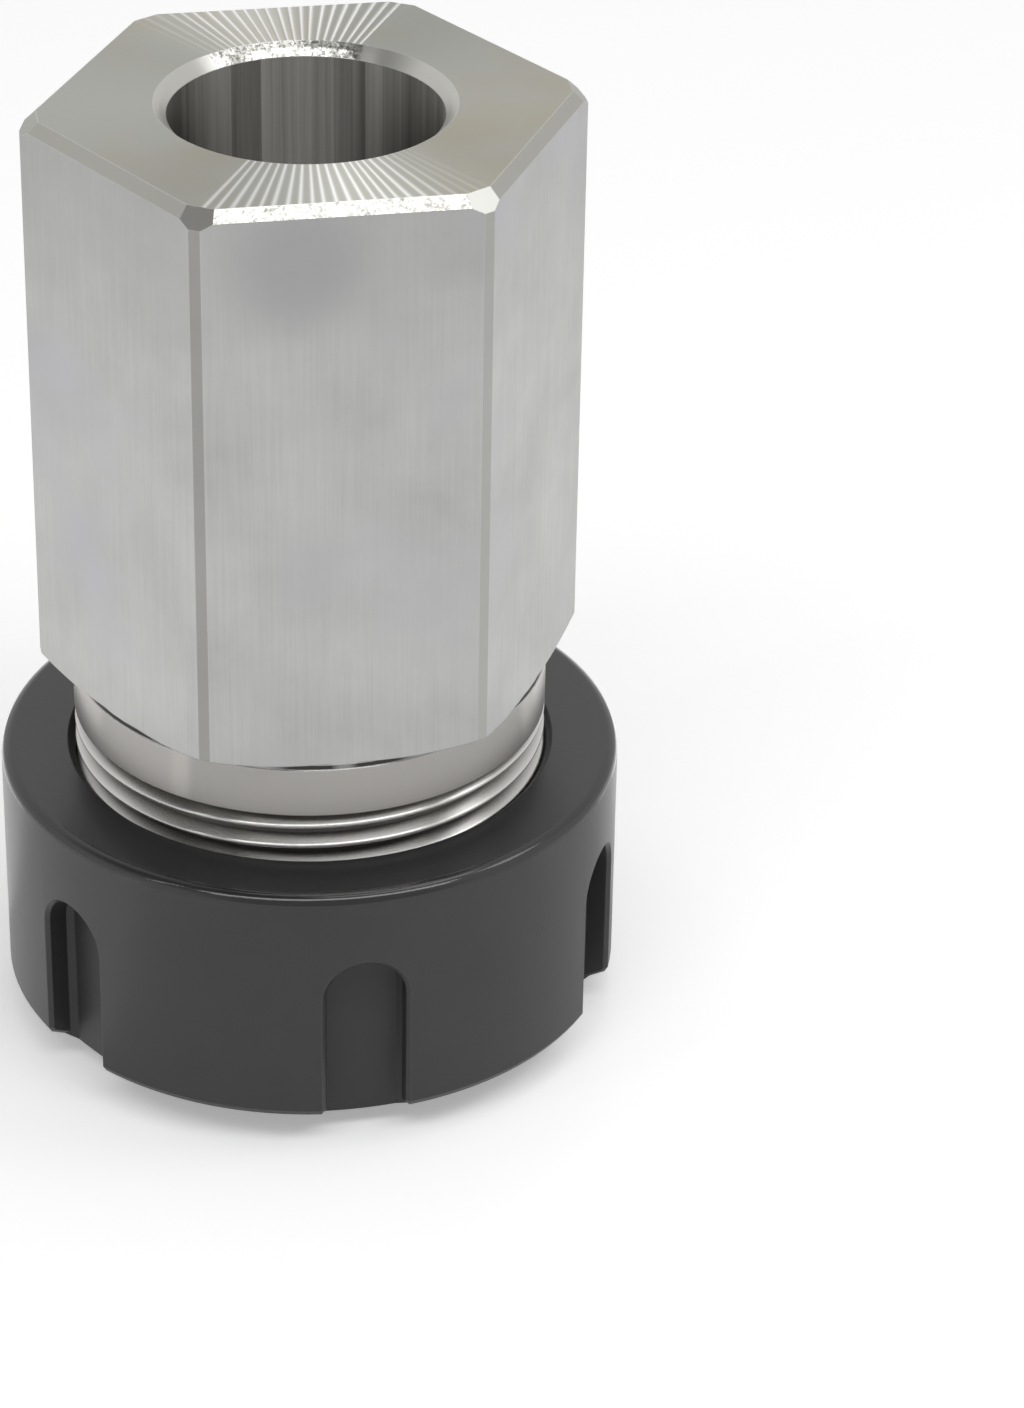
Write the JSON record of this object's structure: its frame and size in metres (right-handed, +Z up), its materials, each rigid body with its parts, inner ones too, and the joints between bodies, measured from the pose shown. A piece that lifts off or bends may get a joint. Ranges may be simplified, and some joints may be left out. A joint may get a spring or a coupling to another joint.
{
  "type": "collet block",
  "caption": "Hexagonal block with a slit spring collet in its taper, closed by a slotted clamping nut that the block stands on, bore upwards.",
  "frame": {"origin": "centre of the clamping nut's nose face, which the block stands on", "axes": "+Z up the bore towards the block's open end, -Y out of the block's front flat"},
  "size_m": [0.042, 0.042, 0.0665],
  "materials": {
    "ground_steel": "ground and fine turned",
    "blackened_steel": "satin black oxide",
    "spring_steel": "ground"
  },
  "bodies": {
    "nut": {"clamping_nut": "blackened_steel"},
    "collet": {"spring_collet": "spring_steel"},
    "block": {"hex_block": "ground_steel"}
  },
  "joints": [
    {"name": "nut_turn", "type": "hinge", "parent": "nut", "child": "collet", "pos_m": [0, 0, 0], "axis": [0, 0, 1], "range_deg": [0, 1800]},
    {"name": "block_advance", "type": "slide", "parent": "collet", "child": "block", "axis": [0, 0, 1], "range_m": [0, 0.0075]}
  ],
  "couplings": [
    {"joint": "block_advance", "follows": "nut_turn", "m_per_rad": 0.00023873}
  ]
}
